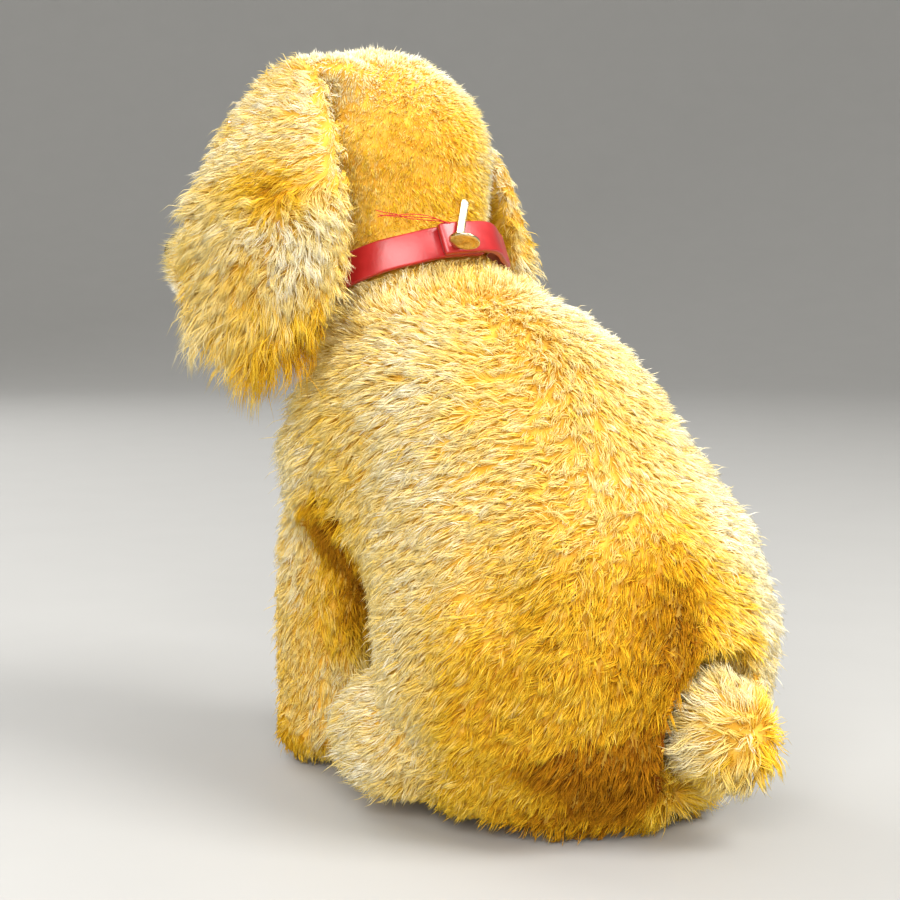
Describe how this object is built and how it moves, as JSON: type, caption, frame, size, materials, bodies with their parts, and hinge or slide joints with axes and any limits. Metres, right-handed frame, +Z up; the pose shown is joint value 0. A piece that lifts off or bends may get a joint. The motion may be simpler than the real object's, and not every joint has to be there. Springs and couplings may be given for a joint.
{
  "type": "jointed plush puppy",
  "caption": "Seated gold mohair toy puppy with a turning head, hanging ears, a stub tail and a red strap collar closed by a brass clasp.",
  "frame": {"origin": "the middle of the flat seat, on the ground in the puppy's middle plane", "axes": "+Z up, the puppy faces -Y, its left side is +X; the head rests turned 14 degrees to its left"},
  "size_m": [0.0649, 0.1208, 0.1159],
  "materials": {
    "gold_mohair": "long wavy golden mohair pile",
    "pale_mohair": "short cream mohair pile",
    "ear_lining": "short gold plush",
    "wood_wool": "packed filling",
    "floss": "dark brown embroidery thread",
    "eye_glass": "polished brown and black glass",
    "steel_wire": "plain drawn wire and pressed washers",
    "board": "pressed fibre board",
    "red_strap": "glazed red leather strap",
    "brass": "bright pressed brass"
  },
  "bodies": {
    "torso": {"left_body_panel": "gold_mohair", "right_body_panel": "gold_mohair", "belly_gusset": "gold_mohair", "body_stuffing": "wood_wool", "left_foreleg_cover": "gold_mohair", "left_foreleg_stuffing": "wood_wool", "right_foreleg_cover": "gold_mohair", "right_foreleg_stuffing": "wood_wool", "left_hind_foot_cover": "gold_mohair", "left_hind_foot_stuffing": "wood_wool", "right_hind_foot_cover": "gold_mohair", "right_hind_foot_stuffing": "wood_wool", "body_disc": "board", "body_washer": "steel_wire"},
    "head": {"left_head_panel": "gold_mohair", "right_head_panel": "gold_mohair", "head_gusset": "gold_mohair", "chin_panel": "pale_mohair", "head_stuffing": "wood_wool", "nose_stitching": "floss", "mouth_stitching": "floss", "left_eye": "eye_glass", "right_eye": "eye_glass", "left_eye_shank": "steel_wire", "right_eye_shank": "steel_wire", "head_disc": "board", "head_washer": "steel_wire", "cotter_pin": "steel_wire"},
    "left_ear": {"left_ear_pile": "gold_mohair", "left_ear_lining": "ear_lining"},
    "right_ear": {"right_ear_pile": "gold_mohair", "right_ear_lining": "ear_lining"},
    "tail": {"tail_cover": "gold_mohair", "tail_stuffing": "wood_wool"},
    "collar": {"collar_strap": "red_strap", "collar_clasp": "brass"}
  },
  "joints": [
    {"name": "head_turn", "type": "hinge", "parent": "torso", "child": "head", "pos_m": [0, -0.037, 0.078], "axis": [0, -0.3746, 0.9272], "continuous": true},
    {"name": "collar_turn", "type": "hinge", "parent": "torso", "child": "collar", "pos_m": [0, -0.037, 0.078], "axis": [0, -0.3746, 0.9272], "continuous": true},
    {"name": "left_ear_lift", "type": "hinge", "parent": "head", "child": "left_ear", "pos_m": [0.01685, -0.04096, 0.11263], "axis": [0.2243, -0.9745, 0.0103], "range_deg": [0, 100]},
    {"name": "right_ear_lift", "type": "hinge", "parent": "head", "child": "right_ear", "pos_m": [-0.01924, -0.04931, 0.10926], "axis": [-0.2243, 0.9745, -0.0103], "range_deg": [0, 100]},
    {"name": "tail_flex", "type": "hinge", "parent": "torso", "child": "tail", "pos_m": [0, 0.0195, 0.016], "axis": [1, 0, 0], "range_deg": [-12, 12]}
  ]
}
